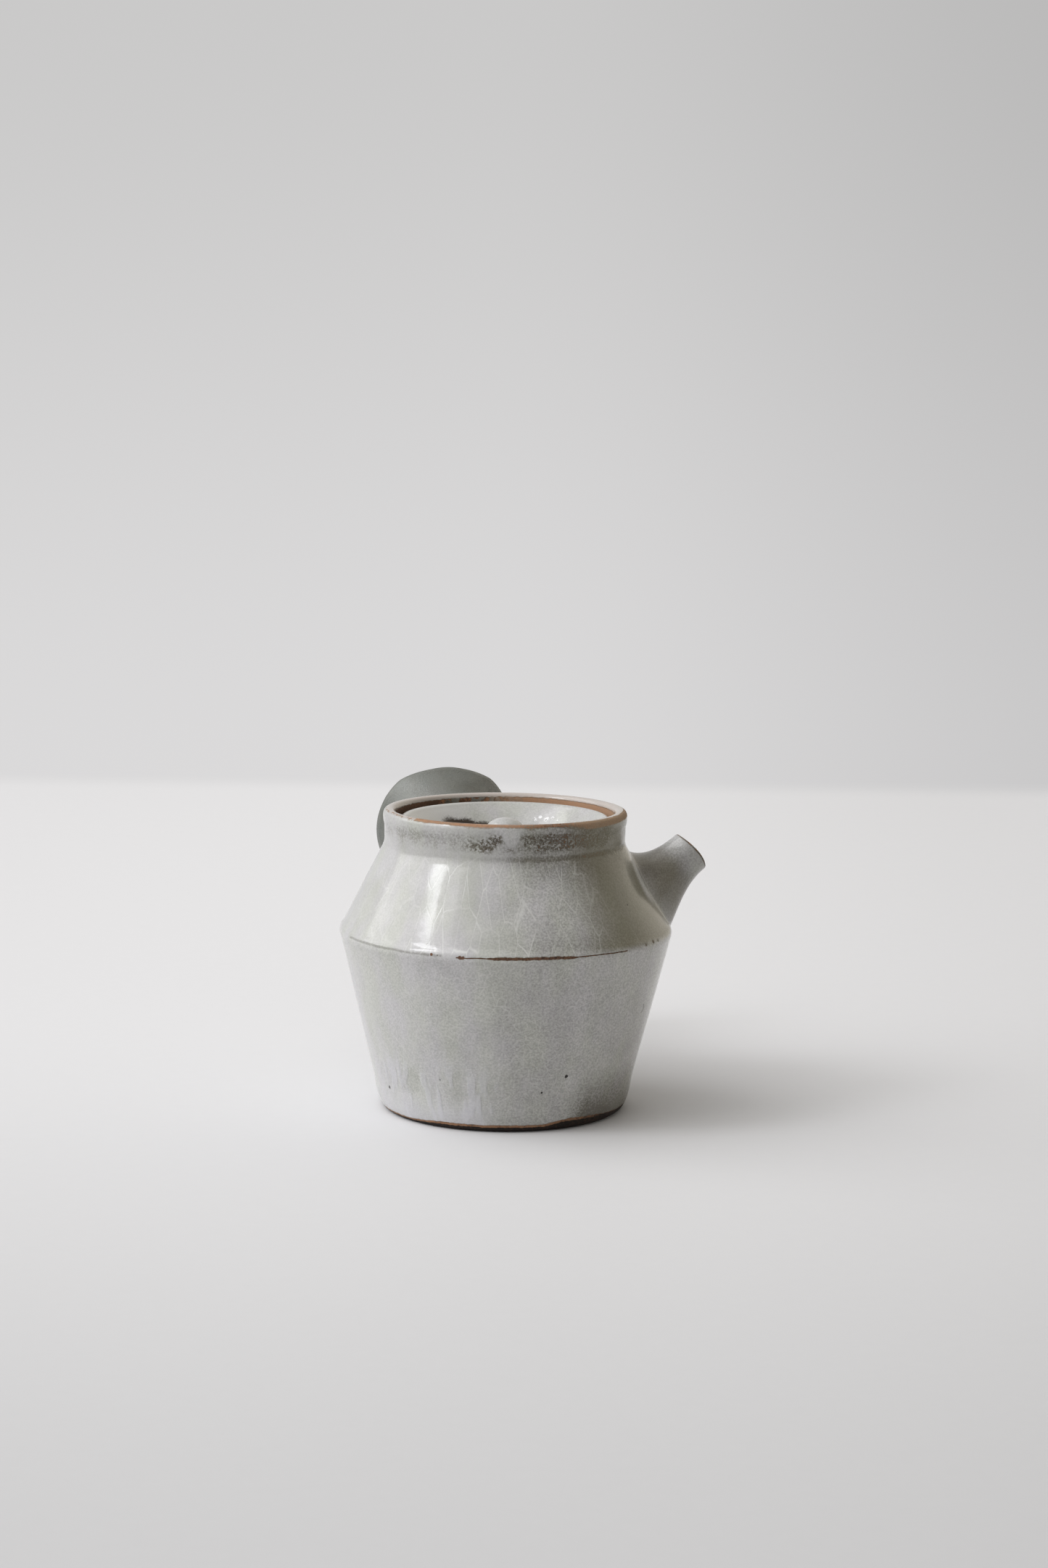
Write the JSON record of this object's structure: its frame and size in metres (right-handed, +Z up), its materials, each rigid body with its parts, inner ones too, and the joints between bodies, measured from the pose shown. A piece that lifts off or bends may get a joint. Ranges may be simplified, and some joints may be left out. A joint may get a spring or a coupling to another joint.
{
  "type": "side-handled teapot",
  "caption": "Small glazed stoneware teapot with a hollow trumpet side handle, a short flared spout, an inner strainer and a sunken lift-out lid.",
  "frame": {"origin": "centre of the flat base, on the table", "axes": "+Z up along the pot's axis, +X towards the spout, +Y along the side handle"},
  "size_m": [0.0976, 0.1351, 0.0796],
  "materials": {
    "glaze": "glossy grey-white crackle glaze over brown stoneware",
    "bare_clay": "matt unglazed brown stoneware"
  },
  "bodies": {
    "pot": {"body": "glaze", "spout": "glaze", "strainer": "bare_clay", "handle": "glaze"},
    "cover": {"lid": "glaze", "knob": "glaze"}
  },
  "joints": [
    {"name": "lid_lift", "type": "slide", "parent": "pot", "child": "cover", "axis": [0, 0, 1], "range_m": [0, 0.06]}
  ]
}
